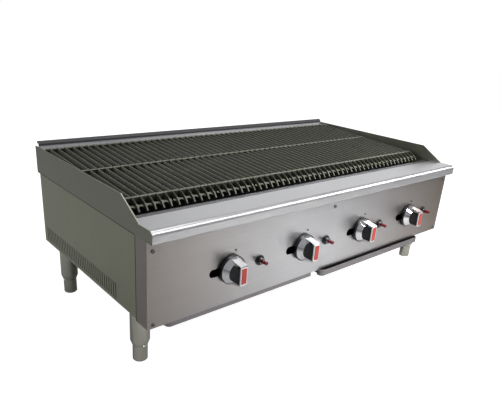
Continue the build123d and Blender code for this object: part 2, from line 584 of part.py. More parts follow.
# ---------------------------------------------------------------- gas manifold with rear inlet
with BuildPart() as gas_manifold:
    start = (BURNERS[0] - PIPE_END, FACE + PIPE_DEPTH, BASE + PIPE_HEIGHT)
    corner = (PIPE_X, FACE + PIPE_DEPTH, BASE + PIPE_HEIGHT)
    inlet = (PIPE_X, FACE + BODY_DEPTH + INLET_STUB, BASE + PIPE_HEIGHT)
    with BuildLine() as route:
        FilletPolyline(start, corner, inlet, radius=PIPE_BEND_R)
    with BuildSketch(Plane(origin=start, z_dir=(1, 0, 0))) as section:
        Circle(PIPE_R)
        Circle(PIPE_BORE_R, mode=Mode.SUBTRACT)
    sweep(section.sketch, path=route.wire())
    with BuildSketch(Plane(origin=start, z_dir=(1, 0, 0))) as cap:
        Circle(PIPE_R)
    extrude(cap.sketch, amount=SHEET)
    boss_top = CONTROL_Z - VALVE_HEIGHT / 2
    for x in BURNERS:
        upright_round(x, FACE + PIPE_DEPTH, BOSS_R, BASE + PIPE_HEIGHT + PIPE_BORE_R, boss_top)
    with BuildSketch(Plane.XZ.offset(-inlet[1])) as thread:
        with Locations((PIPE_X, BASE + PIPE_HEIGHT)):
            Circle(PIPE_R + FIT_GAP)
            Circle(INLET_THREAD_R, mode=Mode.SUBTRACT)
    extrude(thread.sketch, amount=INLET_THREAD, mode=Mode.SUBTRACT)
save(gas_manifold, "gas_manifold")

# ---------------------------------------------------------------- valves
with BuildPart() as gas_valves:
    for x in BURNERS:
        slab(x - VALVE_WIDTH / 2, x + VALVE_WIDTH / 2, FACE + VALVE_FRONT, FACE + VALVE_BACK,
             CONTROL_Z - VALVE_HEIGHT / 2, CONTROL_Z + VALVE_HEIGHT / 2)
        face_round(x, CONTROL_Z, VALVE_NECK_R, FACE + VALVE_FRONT - VALVE_NECK, FACE + VALVE_FRONT)
        face_round(x, CONTROL_Z, JET_R, FACE + VALVE_BACK, FACE + VALVE_BACK + JET_LENGTH)
        face_round(x, CONTROL_Z, STEM_R + PIN_GAP, FACE + VALVE_FRONT - VALVE_NECK,
                   FACE + VALVE_FRONT + STEM_SEAT + SLIDE_GAP, Mode.SUBTRACT)
save(gas_valves, "gas_valves")

for number, x in enumerate(BURNERS, start=1):
    with BuildPart() as valve_stem:
        face_round(x, CONTROL_Z, STEM_R, STEM_TIP, FACE + VALVE_FRONT + STEM_SEAT)
        tip = valve_stem.faces().sort_by(Axis.Y)[0]
        chamfer(tip.edges(), length=STEM_R / 4)
    save(valve_stem, f"valve_stem_{number}")

# ---------------------------------------------------------------- control knobs
for number, x in enumerate(BURNERS, start=1):
    with BuildPart() as knob_core:
        face_round(x, CONTROL_Z, KNOB_BASE_R, CONE_BACK, KNOB_BACK)
        rim = knob_core.faces().sort_by(Axis.Y)[0]
        chamfer(rim.edges(), length=KNOB_BASE_R - KNOB_CONE_R - FIT_GAP)
        face_round(x, CONTROL_Z, STEM_R + PIN_GAP, CONE_BACK, KNOB_BACK, Mode.SUBTRACT)
        for side in (-1, 1):
            inner, outer = sorted((x + side * GRIP_WIDTH / 2, x + side * (GRIP_WIDTH / 2 - INLAY)))
            slab(inner, outer, GRIP_FRONT + INLAY_MARGIN, GRIP_BACK,
                 CONTROL_Z - INLAY_HEIGHT / 2, CONTROL_Z + INLAY_HEIGHT / 2)
    save(knob_core, f"knob_core_{number}")

    with BuildPart() as knob_trim:
        with BuildSketch(Plane.XZ.offset(-CONE_BACK)) as wide_end:
            with Locations((x, CONTROL_Z)):
                Circle(KNOB_CONE_R)
        with BuildSketch(Plane.XZ.offset(-GRIP_BACK)) as narrow_end:
            with Locations((x, CONTROL_Z)):
                Circle(KNOB_CONE_TIP_R)
        loft([wide_end.sketch.face(), narrow_end.sketch.face()])
        grip_side = Plane(origin=(x - GRIP_WIDTH / 2, 0, CONTROL_Z), x_dir=(0, 1, 0), z_dir=(1, 0, 0))
        with BuildSketch(grip_side) as grip:
            Polygon((CONE_BACK, -GRIP_ROOT / 2), (GRIP_FRONT, -GRIP_HEIGHT / 2),
                    (GRIP_FRONT, GRIP_HEIGHT / 2), (CONE_BACK, GRIP_ROOT / 2), align=None)
        extrude(grip.sketch, amount=GRIP_WIDTH)
        front_edges = knob_trim.faces().sort_by(Axis.Y)[0].edges()
        fillet(front_edges, radius=MARKER_DEPTH)
        for side in (-1, 1):
            inner, outer = sorted((x + side * GRIP_WIDTH, x + side * (GRIP_WIDTH / 2 - INLAY)))
            slab(inner, outer, GRIP_FRONT + INLAY_MARGIN, GRIP_BACK,
                 CONTROL_Z - INLAY_HEIGHT / 2, CONTROL_Z + INLAY_HEIGHT / 2, Mode.SUBTRACT)
        slab(x - MARKER_WIDTH / 2, x + MARKER_WIDTH / 2, GRIP_FRONT, GRIP_FRONT + MARKER_DEPTH,
             CONTROL_Z - MARKER_HEIGHT / 2, CONTROL_Z + MARKER_HEIGHT / 2, Mode.SUBTRACT)
        face_round(x, CONTROL_Z, STEM_R + PIN_GAP, STEM_TIP - KNOB_TRAVEL - FIT_GAP, CONE_BACK,
                   Mode.SUBTRACT)
    save(knob_trim, f"knob_trim_{number}")

    with BuildPart() as knob_marker:
        slab(x - MARKER_WIDTH / 2, x + MARKER_WIDTH / 2, GRIP_FRONT - MARKER_PROUD,
             GRIP_FRONT + MARKER_DEPTH, CONTROL_Z - MARKER_HEIGHT / 2, CONTROL_Z + MARKER_HEIGHT / 2)
        fillet(knob_marker.faces().sort_by(Axis.Y)[0].edges(), radius=MARKER_PROUD / 2)
    save(knob_marker, f"knob_marker_{number}")

# ---------------------------------------------------------------- push igniters
with BuildPart() as igniter_bezels:
    for x in BURNERS:
        with BuildSketch(Plane.XZ.offset(-FACE + BEZEL)) as ring:
            with Locations((x + IGNITER_OFFSET, CONTROL_Z)):
                Circle(BEZEL_R)
                Circle(IGNITER_R + BOLT_GAP, mode=Mode.SUBTRACT)
        extrude(ring.sketch, amount=-BEZEL)
save(igniter_bezels, "igniter_bezels")

with BuildPart() as igniter_bodies:
    for x in BURNERS:
        face_round(x + IGNITER_OFFSET, CONTROL_Z, IGNITER_R, FACE - IGNITER_FRONT, FACE + IGNITER_BACK)
        with BuildSketch(Plane.XZ.offset(-FACE - SHEET)) as nut:
            with Locations((x + IGNITER_OFFSET, CONTROL_Z)):
                RegularPolygon(IGNITER_NUT_R, 6)
        extrude(nut.sketch, amount=-IGNITER_NUT)
        face_round(x + IGNITER_OFFSET, CONTROL_Z, BUTTON_R + SLIDE_GAP, FACE - IGNITER_FRONT,
                   FACE + BUTTON_SEAT + BUTTON_TRAVEL + FIT_GAP, Mode.SUBTRACT)
save(igniter_bodies, "igniter_bodies")

for number, x in enumerate(BURNERS, start=1):
    with BuildPart() as igniter_button:
        face_round(x + IGNITER_OFFSET, CONTROL_Z, BUTTON_R, FACE - BUTTON_REACH, FACE + BUTTON_SEAT)
        fillet(igniter_button.faces().sort_by(Axis.Y)[0].edges(), radius=BUTTON_R / 4)
    save(igniter_button, f"igniter_button_{number}")

# ---------------------------------------------------------------- panel screws and leg bolts
with BuildPart() as fasteners:
    wide = PANEL_HALF - SCREW_MARGIN
    large = [(-wide, SCREW_HIGH), (wide, SCREW_HIGH), (-wide, SCREW_LOW), (wide, SCREW_LOW),
             (0, SCREW_HIGH)]
    small = [(x + PILOT_SCREW[0], CONTROL_HEIGHT + PILOT_SCREW[1]) for x in BURNERS]
    for places, radius in ((large, SCREW_HEAD_R), (small, PILOT_SCREW_R)):
        for x, height in places:
            face_round(x, BASE + height, radius, FACE - SCREW_HEAD, FACE)
            head = fasteners.faces().group_by(Axis.Y)[0].sort_by_distance(
                (x, FACE - SCREW_HEAD, BASE + height))[0]
            fillet(head.edges(), radius=SCREW_HEAD / 2)
            face_round(x, BASE + height, SCREW_SHANK_R, FACE, FACE + SCREW_LENGTH)
    for x, y in LEGS.values():
        with BuildSketch(Plane.XY.offset(BASE + SHEET)) as head:
            with Locations((x, FACE + y)):
                RegularPolygon(BOLT_HEAD_AF / 2, 6, major_radius=False)
        extrude(head.sketch, amount=BOLT_HEAD)
        upright_round(x, FACE + y, BOLT_R, BASE + SHEET - BOLT_LENGTH, BASE + SHEET)
save(fasteners, "fasteners")

# ---------------------------------------------------------------- rests under the grates
def grate_underside(depth):
    """Height of the underside of the bars at a depth behind the panel face."""
    return BASE + GRATE_HEIGHT + (depth - GRATE_FRONT) * GRATE_RISE / GRATE_RUN - BAR_HEIGHT


with BuildPart() as grate_rests:
    for along in RIBS:
        front = GRATE_FRONT + along * cos(SLOPE) - REST_WIDTH / 2
        top = grate_underside(front) - GRATE_SEAT_GAP
        slab(-LINER_IN, LINER_IN, FACE + front, FACE + front + REST_WIDTH, top - REST_HEIGHT, top)
save(grate_rests, "grate_rests")

# ---------------------------------------------------------------- cast grates
bar_starts = [BAR_PITCH * (i - (BARS_PER_GRATE - 1) / 2) for i in range(BARS_PER_GRATE)]
bar_length = RIB_BACK + RIB_WIDTH / 2
for number, middle in enumerate(GRATES, start=1):
    front_rib = (middle, FACE + GRATE_FRONT, BASE + GRATE_HEIGHT)
    across = Plane(origin=front_rib, x_dir=(1, 0, 0), z_dir=(0, -UPHILL[1], -UPHILL[2]))
    surface = Plane(origin=front_rib, x_dir=(1, 0, 0), z_dir=(0, -UPHILL[2], UPHILL[1]))
    with BuildPart() as grate:
        with BuildSketch(across) as bars:
            with Locations(*[(offset, 0) for offset in bar_starts]):
                Polygon((-BAR_TOP / 2, 0), (-BAR_FOOT / 2, -BAR_HEIGHT), (BAR_FOOT / 2, -BAR_HEIGHT),
                        (BAR_TOP / 2, 0), align=None)
        extrude(bars.sketch, amount=-bar_length)
        with BuildSketch(surface) as ribs:
            for along in RIBS:
                with Locations((0, along)):
                    Rectangle(GRATE_PITCH - GRATE_GAP, RIB_WIDTH)
        extrude(ribs.sketch, amount=-RIB_HEIGHT)
        for offset in bar_starts:
            side_plane = Plane(origin=(middle + offset - NOSE_WIDTH / 2, *front_rib[1:]),
                               x_dir=(0, -UPHILL[1], -UPHILL[2]), z_dir=(-1, 0, 0))
            with BuildSketch(side_plane) as nose:
                with BuildLine():
                    Line((-RIB_WIDTH / 2, 0), (0, 0))
                    ThreePointArc((0, 0), (NOSE_REACH / 2 + NOSE_BULGE, -NOSE_DROP / 2 + NOSE_BULGE),
                                  (NOSE_REACH, -NOSE_DROP))
                    Line((NOSE_REACH, -NOSE_DROP), (NOSE_REACH - NOSE_TIP, -NOSE_DROP - NOSE_TIP / 2))
                    ThreePointArc((NOSE_REACH - NOSE_TIP, -NOSE_DROP - NOSE_TIP / 2),
                                  (NOSE_REACH / 2 - NOSE_BULGE / 2, -BAR_HEIGHT + NOSE_BULGE / 4),
                                  (-RIB_WIDTH / 2, -BAR_HEIGHT))
                    Line((-RIB_WIDTH / 2, -BAR_HEIGHT), (-RIB_WIDTH / 2, 0))
                make_face()
            extrude(nose.sketch, amount=-NOSE_WIDTH)
        with BuildSketch(surface.offset(-LOW_RIB_DROP)) as low_rib:
            with Locations((0, -LOW_RIB)):
                Rectangle(BAR_PITCH * (BARS_PER_GRATE - 1), LOW_RIB_WIDTH)
        extrude(low_rib.sketch, amount=-LOW_RIB_HEIGHT)
    save(grate, f"grate_{number}")

# ---------------------------------------------------------------- drip trays
for name, (left, right), drawn in zip(("drip_tray_left", "drip_tray_right"), TRAY_SPANS,
                                      TRAY_DRAWN_OUT):
    front = FACE + TRAY_CLOSED - drawn
    back = front + TRAY_LENGTH
    with BuildPart() as tray:
        slab(left + TRAY_RIM, right - TRAY_RIM, front, back, TRAY_FLOOR, RIM_TOP)
        slab(left + TRAY_RIM + SHEET, right - TRAY_RIM - SHEET, front + SHEET, back - SHEET,
             TRAY_FLOOR + SHEET, RIM_TOP, Mode.SUBTRACT)
        for inner, outer in ((left, left + TRAY_RIM + SHEET), (right - TRAY_RIM - SHEET, right)):
            slab(inner, outer, front + TRAY_RETURN, back, RIM_TOP - SHEET, RIM_TOP)
        with BuildSketch(Plane.XY.offset(TRAY_FLOOR)) as fascia:
            corner, deep = front + SHEET / 2, front + TRAY_RETURN
            with BuildLine():
                FilletPolyline((left + SHEET / 2, deep), (left + SHEET / 2, corner),
                               (right - SHEET / 2, corner), (right - SHEET / 2, deep),
                               radius=TRAY_CORNER_R)
            trace(line_width=SHEET)
        extrude(fascia.sketch, amount=TRAY_DEPTH)
        slab(left, left + TRAY_RIM + SHEET, front + TRAY_RETURN - SHEET, front + TRAY_RETURN,
             TRAY_FLOOR, RIM_TOP)
        slab(right - TRAY_RIM - SHEET, right, front + TRAY_RETURN - SHEET, front + TRAY_RETURN,
             TRAY_FLOOR, RIM_TOP)
    save(tray, name)

with BuildPart() as tray_runners:
    for left, right in TRAY_SPANS:
        for edge, outward in ((left, -1), (right, 1)):
            web_in = edge + outward * SLIDE_GAP
            web_out = web_in + outward * SHEET
            lip = edge - outward * (TRAY_RIM - FIT_GAP)
            low = RIM_TOP - SHEET - SLIDE_GAP - SHEET
            for side_a, side_b, bottom, top in ((web_in, web_out, low, BASE),
                                                (lip, web_out, low, low + SHEET),
                                                (lip, web_out, BASE - SHEET, BASE)):
                slab(min(side_a, side_b), max(side_a, side_b), FACE + RUNNER_FRONT,
                     FACE + RUNNER_BACK, bottom, top)
save(tray_runners, "tray_runners")

# ---------------------------------------------------------------- legs and levelling feet
tube_low = BASE - LEG_TUBE
taper_low = tube_low - LEG_TAPER
with BuildPart() as leg_tubes:
    for x, y in LEGS.values():
        upright_round(x, FACE + y, LEG_R, tube_low, BASE)
        with BuildSketch(Plane.XY.offset(tube_low)) as wide_end:
            with Locations((x, FACE + y)):
                Circle(LEG_R)
        with BuildSketch(Plane.XY.offset(taper_low)) as narrow_end:
            with Locations((x, FACE + y)):
                Circle(LEG_TAPER_R)
        loft([wide_end.sketch.face(), narrow_end.sketch.face()])
        upright_round(x, FACE + y, LEG_R - LEG_WALL, taper_low + LEG_PLUG, BASE - LEG_CAP,
                      Mode.SUBTRACT)
        upright_round(x, FACE + y, FOOT_STEM_R + PIN_GAP, taper_low, taper_low + LEG_PLUG,
                      Mode.SUBTRACT)
        upright_round(x, FACE + y, BOLT_R + BOLT_GAP, BASE - LEG_CAP, BASE, Mode.SUBTRACT)
save(leg_tubes, "leg_tubes")

for name, (x, y) in LEGS.items():
    with BuildPart() as foot:
        upright_round(x, FACE + y, FOOT_R, 0, taper_low - FOOT_SEAT_GAP)
        for rim in (foot.faces().sort_by(Axis.Z)[0], foot.faces().sort_by(Axis.Z)[-1]):
            chamfer(rim.edges(), length=FOOT_CHAMFER)
        upright_round(x, FACE + y, FOOT_STEM_R, taper_low - FOOT_SEAT_GAP, taper_low + FOOT_STEM)
    save(foot, f"foot_{name}")
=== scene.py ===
"""The looks of the charbroiler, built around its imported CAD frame. Metres, +Z up, +Y to the back."""

import math

import bmesh
import bpy
from mathutils import Matrix, Vector


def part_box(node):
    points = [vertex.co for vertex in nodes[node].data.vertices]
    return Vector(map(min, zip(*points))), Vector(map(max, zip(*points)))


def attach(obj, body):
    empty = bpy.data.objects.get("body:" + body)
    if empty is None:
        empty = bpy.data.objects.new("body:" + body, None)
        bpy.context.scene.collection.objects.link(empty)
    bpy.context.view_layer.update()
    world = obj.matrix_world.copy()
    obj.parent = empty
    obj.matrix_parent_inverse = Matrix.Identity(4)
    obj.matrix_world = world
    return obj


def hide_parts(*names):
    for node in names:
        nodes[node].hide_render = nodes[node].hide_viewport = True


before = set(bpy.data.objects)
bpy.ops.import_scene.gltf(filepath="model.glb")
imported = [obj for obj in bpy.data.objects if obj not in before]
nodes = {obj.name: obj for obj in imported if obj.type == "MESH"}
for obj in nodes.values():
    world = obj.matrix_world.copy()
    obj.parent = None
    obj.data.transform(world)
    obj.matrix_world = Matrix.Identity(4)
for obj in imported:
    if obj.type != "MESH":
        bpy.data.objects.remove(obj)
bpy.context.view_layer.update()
scene = bpy.context.scene

# ---------------------------------------------------------------- places read from the frame
panel_low, panel_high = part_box("control_panel")
FACE = panel_low.y
BASE = panel_low.z
GRATES = sorted((name for name in nodes if name.startswith("grate_") and name[6:].isdigit()),
                key=lambda name: int(name[6:]))
KNOBS = [1, 2, 3, 4]
MM = 0.001

# The camera, solved from the straight edges of the body in the photograph.
CAMERA_PLACE = (-1.10216, -0.85392, 0.63529)  # from the panel's face and the body's underside
CAMERA_YAW, CAMERA_PITCH, CAMERA_ROLL = 0.74014, 0.38640, 0.07386
CAMERA_SENSOR, CAMERA_LENS = 36.0, 36.427     # mm
CAMERA_SHIFT = (0.0018, 0.0745)
FLOOR_HALF = 6.0
FLOOR_GLOW = 0.97                             # what the camera sees on top of the lit floor
SURROUND_STRENGTH = 0.7

# The cast grates, in the plane of the cooking surface.
SLOPE = math.atan2(28.0, 450.0)               # rise of the cooking surface
FRONT_RIB = FACE + 153 * MM                   # middle of the front cross rib
BAR_HEIGHT = 18 * MM
BAR_PITCH = 22 * MM
BAR_COUNT = 6
BARS = [BAR_PITCH * (i - (BAR_COUNT - 1) / 2) for i in range(BAR_COUNT)]
BAR_RIDGE, BAR_FOOT, BAR_BULGE = 1.3 * MM, 7.5 * MM, 0.46
BAR_START = 6 * MM                            # where the plain bar begins, behind the front rib
NOSE = ((0.0, 0.0), (25.5 * MM, -6.5 * MM), (42 * MM, -22 * MM))
FINGER_STEPS = 14                             # pieces of a finger's curve, from its tip
# The crowns next to the tip take wear and painted highlight.
WEAR_AND_HIGHLIGHT_STEPS = 6                                # the ones next to the tip, with a bright crown
RIB_WIDTH, RIB_HEIGHT, RIB_CHAMFER = 8 * MM, 12 * MM, 0.9 * MM
RIB_DROPS = (0.2 * MM, 1.0 * MM, 1.0 * MM)    # of the front, middle and rear rib, under the crowns
REAR_RIB_INSET = 4 * MM
MIDDLE_RIB_SHIFT = 4.5 * MM
WEB_MARGIN = 1.5 * MM                         # from the middle of a finger to its web
WEB_STEPS = 8
WEB_THICKNESS = 3 * MM
# The second and third slots are lighter copies of the iron: painted highlight on the crowns, the third
# partly wear too.
IRON_SLOT, RIDGE_SLOT, WEAR_AND_HIGHLIGHT_SLOT = 0, 1, 2
CAST_EDGE = 0.35 * MM

# The panel screws and the joint lines of the body, with painted shade in the screw recesses and painted
# shadow along the joints.
SCREW_INSET = 15 * MM                         # from the panel's ends
SCREW_DROP, SCREW_RISE = 23.8 * MM, 9.5 * MM  # from the panel's upper and lower edges
# The black crosses are painted shade for the screws' cross recesses.
RECESS_ARM, RECESS_HALF = 2.9 * MM, 0.5 * MM
RECESS_FRONT, RECESS_BACK = 2.75 * MM, 1.6 * MM
RECESS_EDGE = 0.1 * MM
FOLD_DEPTH = 50 * MM                          # the panel's folded ends
# The seam strips are painted shadow in the gaps beside the fold and under the guard.
FOLD_SEAM = (-2.4 * MM, 0.1 * MM)             # from the fold's rear edge
GUARD_SEAM = 1.8 * MM
SEAM_PROUD, SEAM_SUNK = 0.15 * MM, 0.35 * MM
SEAM_INSET = 0.2 * MM
# The splash's dark band is painted shade under its top edge.
SPLASH_SHADE = 14 * MM                        # the dark band under the splash's top
SPLASH_SHADE_EDGE = 2 * MM
SHARP_ANGLE = math.radians(35)                # edges sharper than this are rounded


# ---------------------------------------------------------------- camera and studio
def add_camera():
    """The photographer's place, from the control panel's face and the underside of the body."""
    place = Vector(CAMERA_PLACE) + Vector((0, FACE, BASE))
    yaw, pitch, roll = CAMERA_YAW, CAMERA_PITCH, CAMERA_ROLL
    ahead = Vector((math.sin(yaw) * math.cos(pitch), math.cos(yaw) * math.cos(pitch),
                    -math.sin(pitch)))
    level = Vector((math.cos(yaw), -math.sin(yaw), 0))
    up = level.cross(ahead)
    right = level * math.cos(roll) + up * math.sin(roll)
    top = up * math.cos(roll) - level * math.sin(roll)
    camera = bpy.data.objects.new("camera", bpy.data.cameras.new("camera"))
    turn = Matrix((right, top, -ahead)).transposed().to_4x4()
    camera.matrix_world = Matrix.Translation(place) @ turn
    camera.data.sensor_width = CAMERA_SENSOR
    camera.data.lens = CAMERA_LENS
    camera.data.shift_x, camera.data.shift_y = CAMERA_SHIFT
    scene.collection.objects.link(camera)
    scene.camera = camera


def add_softbox(name, place, aim, width, height, power, spread=180):
    """A rectangular studio light at place, pointing at aim."""
    light = bpy.data.lights.new(name, "AREA")
    light.shape = "RECTANGLE"
    light.size, light.size_y = width, height
    light.energy = power
    light.spread = math.radians(spread)
    softbox = bpy.data.objects.new(name, light)
    softbox.location = place
    softbox.rotation_euler = (Vector(aim) - Vector(place)).to_track_quat("-Z", "Y").to_euler()
    scene.collection.objects.link(softbox)


def add_studio():
    """A pale floor, a light surround and soft lights."""
    world = bpy.data.worlds.new("studio")
    scene.world = world
    world.use_nodes = True
    tree = world.node_tree
    tree.nodes.clear()
    output = tree.nodes.new("ShaderNodeOutputWorld")
    mix = tree.nodes.new("ShaderNodeMixShader")
    seen = tree.nodes.new("ShaderNodeBackground")
    seen.inputs["Color"].default_value = (1, 1, 1, 1)
    around = tree.nodes.new("ShaderNodeBackground")
    path = tree.nodes.new("ShaderNodeLightPath")
    coords = tree.nodes.new("ShaderNodeTexCoord")
    split = tree.nodes.new("ShaderNodeSeparateXYZ")
    ramp = tree.nodes.new("ShaderNodeValToRGB")
    ramp.color_ramp.elements[0].position = 0.44
    ramp.color_ramp.elements[0].color = (0.10, 0.095, 0.09, 1)
    ramp.color_ramp.elements[1].position = 0.62
    ramp.color_ramp.elements[1].color = (0.42, 0.43, 0.45, 1)
    lift = tree.nodes.new("ShaderNodeMath")
    lift.operation = "MULTIPLY_ADD"
    lift.inputs[1].default_value = 0.5
    lift.inputs[2].default_value = 0.5
    tree.links.new(coords.outputs["Generated"], split.inputs[0])
    tree.links.new(split.outputs["Z"], lift.inputs[0])
    tree.links.new(lift.outputs[0], ramp.inputs[0])
    tree.links.new(ramp.outputs[0], around.inputs["Color"])
    around.inputs["Strength"].default_value = SURROUND_STRENGTH
    tree.links.new(path.outputs["Is Camera Ray"], mix.inputs[0])
    tree.links.new(around.outputs[0], mix.inputs[1])
    tree.links.new(seen.outputs[0], mix.inputs[2])
    tree.links.new(mix.outputs[0], output.inputs[0])
    mesh = bpy.data.meshes.new("floor")
    half = FLOOR_HALF
    mesh.from_pydata([(-half, -half, 0), (half, -half, 0), (half, half, 0), (-half, half, 0)], [],
                     [(0, 1, 2, 3)])
    floor = bpy.data.objects.new("floor", mesh)
    scene.collection.objects.link(floor)
    floor.data.materials.append(floor_paint())
    add_softbox("key", (0.25, -1.35, 1.35), (0.3, -0.62, 0.0), 0.7, 0.4, 6.0, spread=80)
    add_softbox("top", (0.0, 0.0, 2.6), (0, 0, 0.2), 2.0, 1.2, 16)
    add_softbox("edge", (2.2, -1.5, 1.6), (0, -0.3, 0.35), 1.2, 0.4, 20)
    add_softbox("back", (2.2, 1.9, 1.25), (0, -0.2, 0.3), 3.2, 1.0, 8)
    add_softbox("fill", (-1.9, 2.6, 1.5), (0, 0.3, 0.2), 1.6, 1.0, 8)
    scene.view_settings.view_transform = "Standard"


# ---------------------------------------------------------------- materials
def new_material(name):
    """A material with an empty principled shader, and the shader."""
    material = bpy.data.materials.new(name)
    material.use_nodes = True
    shader = material.node_tree.nodes["Principled BSDF"]
    return material, shader


def floor_paint():
    """Matt white that reads as a seamless white sweep, with faint shadows left on it."""
    material, shader = new_material("floor_white")
    shader.inputs["Base Color"].default_value = (0.55, 0.55, 0.55, 1)
    shader.inputs["Roughness"].default_value = 0.8
    tree = material.node_tree
    glow = tree.nodes.new("ShaderNodeEmission")
    path = tree.nodes.new("ShaderNodeLightPath")
    strength = tree.nodes.new("ShaderNodeMath")
    strength.operation = "MULTIPLY"
    strength.inputs[1].default_value = FLOOR_GLOW
    add = tree.nodes.new("ShaderNodeAddShader")
    tree.links.new(path.outputs["Is Camera Ray"], strength.inputs[0])
    tree.links.new(strength.outputs[0], glow.inputs["Strength"])
    tree.links.new(shader.outputs[0], add.inputs[0])
    tree.links.new(glow.outputs[0], add.inputs[1])
    tree.links.new(add.outputs[0], tree.nodes["Material Output"].inputs["Surface"])
    return material


def stretched_noise(tree, scale, detail=3.0, roughness=0.55):
    """Noise in the object's own frame, stretched by a scale for each axis."""
    coords = tree.nodes.new("ShaderNodeTexCoord")
    mapping = tree.nodes.new("ShaderNodeMapping")
    mapping.inputs["Scale"].default_value = scale
    noise = tree.nodes.new("ShaderNodeTexNoise")
    noise.inputs["Scale"].default_value = 1.0
    noise.inputs["Detail"].default_value = detail
    noise.inputs["Roughness"].default_value = roughness
    tree.links.new(coords.outputs["Object"], mapping.inputs["Vector"])
    tree.links.new(mapping.outputs[0], noise.inputs["Vector"])
    return noise.outputs["Fac"]


def ramp_of(tree, value, low, high, start=0.3, end=0.7):
    """A colour that goes from low to high as a value rises."""
    ramp = tree.nodes.new("ShaderNodeValToRGB")
    ramp.color_ramp.elements[0].position = start
    ramp.color_ramp.elements[0].color = (*low, 1)
    ramp.color_ramp.elements[1].position = end
    ramp.color_ramp.elements[1].color = (*high, 1)
    tree.links.new(value, ramp.inputs[0])
    return ramp.outputs[0]


def range_of(tree, value, low, high):
    """A number that goes from low to high as a value rises from 0.3 to 0.7."""
    node = tree.nodes.new("ShaderNodeMapRange")
    node.inputs["From Min"].default_value = 0.3
    node.inputs["From Max"].default_value = 0.7
    node.inputs["To Min"].default_value = low
    node.inputs["To Max"].default_value = high
    tree.links.new(value, node.inputs[0])
    return node.outputs[0]


def mixed(tree, first, second, factor, mode="MULTIPLY"):
    """Two colours combined."""
    node = tree.nodes.new("ShaderNodeMix")
    node.data_type = "RGBA"
    node.blend_type = mode
    node.inputs[0].default_value = factor
    tree.links.new(first, node.inputs[6])
    tree.links.new(second, node.inputs[7])
    return node.outputs[2]


def add_bump(tree, shader, height, strength, distance):
    """A relief on the surface."""
    bump = tree.nodes.new("ShaderNodeBump")
    bump.inputs["Strength"].default_value = strength
    bump.inputs["Distance"].default_value = distance
    tree.links.new(height, bump.inputs["Height"])
    tree.links.new(bump.outputs[0], shader.inputs["Normal"])


def painted_end_shade(tree, ends):
    """Painted shade and a warm painted reflection that darken a wide sheet towards its two ends."""
    coords = tree.nodes.new("ShaderNodeTexCoord")
    split = tree.nodes.new("ShaderNodeSeparateXYZ")
    shift = tree.nodes.new("ShaderNodeMath")
    shift.operation = "ADD"
    shift.inputs[1].default_value = 0.08
    size = tree.nodes.new("ShaderNodeMath")
    size.operation = "ABSOLUTE"
    tree.links.new(coords.outputs["Object"], split.inputs[0])
    tree.links.new(split.outputs["X"], shift.inputs[0])
    tree.links.new(shift.outputs[0], size.inputs[0])
    return ramp_of(tree, size.outputs[0], (0.99, 1.0, 1.03), (ends * 1.12, ends * 0.97, ends * 0.86),
                   0.10, 0.66)


def below(tree, height, darker):
    """Painted shade: full brightness under a height of the object's frame and a darker tone above it."""
    coords = tree.nodes.new("ShaderNodeTexCoord")
    split = tree.nodes.new("ShaderNodeSeparateXYZ")
    tree.links.new(coords.outputs["Object"], split.inputs[0])
    return ramp_of(tree, split.outputs["Z"], (1.0, 1.0, 1.0), (darker, darker, darker * 1.02),
                   height - SPLASH_SHADE_EDGE, height)


def brushed(name, color, grain, roughness=0.3, contrast=0.035, smudge=0.10, metallic=1.0,
            ends=1.0, painted_shade_above=None):
    """Brushed sheet metal: fine streaks along one axis, with faint smudges over them."""
    material, shader = new_material(name)
    tree = material.node_tree
    scale = [420.0, 420.0, 420.0]
    scale[grain] = 5.0
    streaks = stretched_noise(tree, scale, detail=4)
    smudges = stretched_noise(tree, (6.0, 4.0, 1.6), detail=4)
    dark = [c * (1 - contrast) for c in color]
    light = [min(1, c * (1 + contrast)) for c in color]
    base = ramp_of(tree, streaks, dark, light)
    veil = ramp_of(tree, smudges, [1 - smudge] * 3, [1.0] * 3)
    base = mixed(tree, base, veil, 1.0)
    if ends < 1:
        # painted shade and warm painted reflection towards the sheet's ends
        base = mixed(tree, base, painted_end_shade(tree, ends), 1.0)
    if painted_shade_above:
        # painted shade band under the top of the sheet
        base = mixed(tree, base, below(tree, *painted_shade_above), 1.0)
    tree.links.new(base, shader.inputs["Base Color"])
    shader.inputs["Metallic"].default_value = metallic
    tree.links.new(range_of(tree, smudges, roughness * 0.85, roughness * 1.2),
                   shader.inputs["Roughness"])
    add_bump(tree, shader, streaks, 0.06, 0.0003)
    return material


def cast_iron(name, color, shine, roughness):
    """Bare cast iron: pitted skin with uneven oily sheen."""
    material, shader = new_material(name)
    tree = material.node_tree
    pits = stretched_noise(tree, (420.0, 420.0, 420.0), detail=5)
    patches = stretched_noise(tree, (16.0, 16.0, 16.0), detail=4)
    base = ramp_of(tree, pits, [c * 0.7 for c in color], [c * 1.35 for c in color])
    veil = ramp_of(tree, patches, [0.75, 0.74, 0.70], [1.0, 1.0, 1.0])
    tree.links.new(mixed(tree, base, veil, 1.0), shader.inputs["Base Color"])
    shader.inputs["Metallic"].default_value = shine
    tree.links.new(range_of(tree, patches, roughness * 0.8, roughness * 1.2),
                   shader.inputs["Roughness"])
    add_bump(tree, shader, pits, 0.35, 0.0006)
    return material


def moulded(name, color, roughness, metallic=0.0):
    """Moulded plastic or plating with a faint texture and handling marks."""
    material, shader = new_material(name)
    tree = material.node_tree
    grain = stretched_noise(tree, (1500.0, 1500.0, 1500.0), detail=2)
    marks = stretched_noise(tree, (60.0, 60.0, 60.0), detail=4)
    base = ramp_of(tree, marks, [c * 0.9 for c in color], [min(1, c * 1.08) for c in color])
    tree.links.new(base, shader.inputs["Base Color"])
    shader.inputs["Metallic"].default_value = metallic
    tree.links.new(range_of(tree, marks, roughness * 0.8, roughness * 1.25),
                   shader.inputs["Roughness"])
    add_bump(tree, shader, grain, 0.05, 0.0002)
    return material


